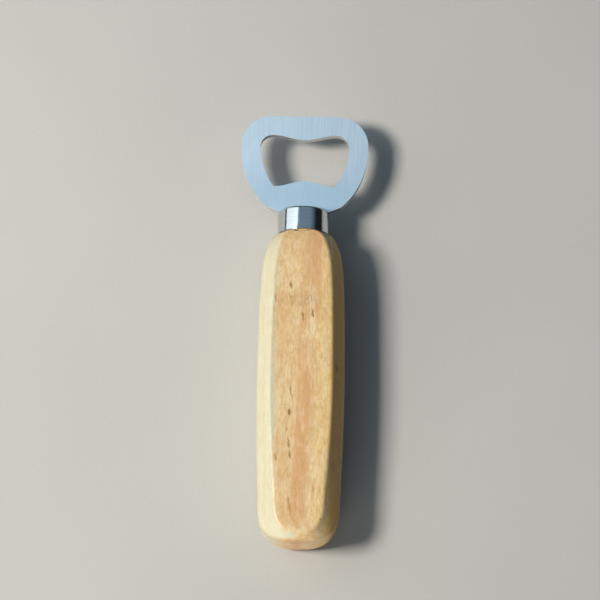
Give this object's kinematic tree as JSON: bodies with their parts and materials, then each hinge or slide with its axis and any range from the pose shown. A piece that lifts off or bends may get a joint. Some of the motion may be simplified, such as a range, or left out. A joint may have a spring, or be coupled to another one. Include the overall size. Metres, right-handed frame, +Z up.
{
  "type": "bottle opener",
  "caption": "Bottle opener with a flat stamped steel head, a polished ferrule and a faceted, rounded wooden handle; it lies flat on the handle.",
  "frame": {"origin": "middle of the opener's length and width, on the surface that the handle lies on", "axes": "+Y along the handle to the steel head, +X to the right, +Z up, square to the steel plate"},
  "size_m": [0.042, 0.144, 0.022],
  "materials": {
    "satin_steel": "satin stainless sheet, fine straight brush lines along the length, edges lightly broken",
    "polished_steel": "polished drawn tube with faint turning lines",
    "pale_hardwood": "pale cream-yellow fine-grained hardwood with short dark flecks, under a satin clear lacquer",
    "cured_resin": "cast clear amber resin, hidden inside the handle"
  },
  "bodies": {
    "root": {"opener_head": "satin_steel", "ferrule": "polished_steel", "handle": "pale_hardwood", "adhesive": "cured_resin"}
  },
  "joints": []
}
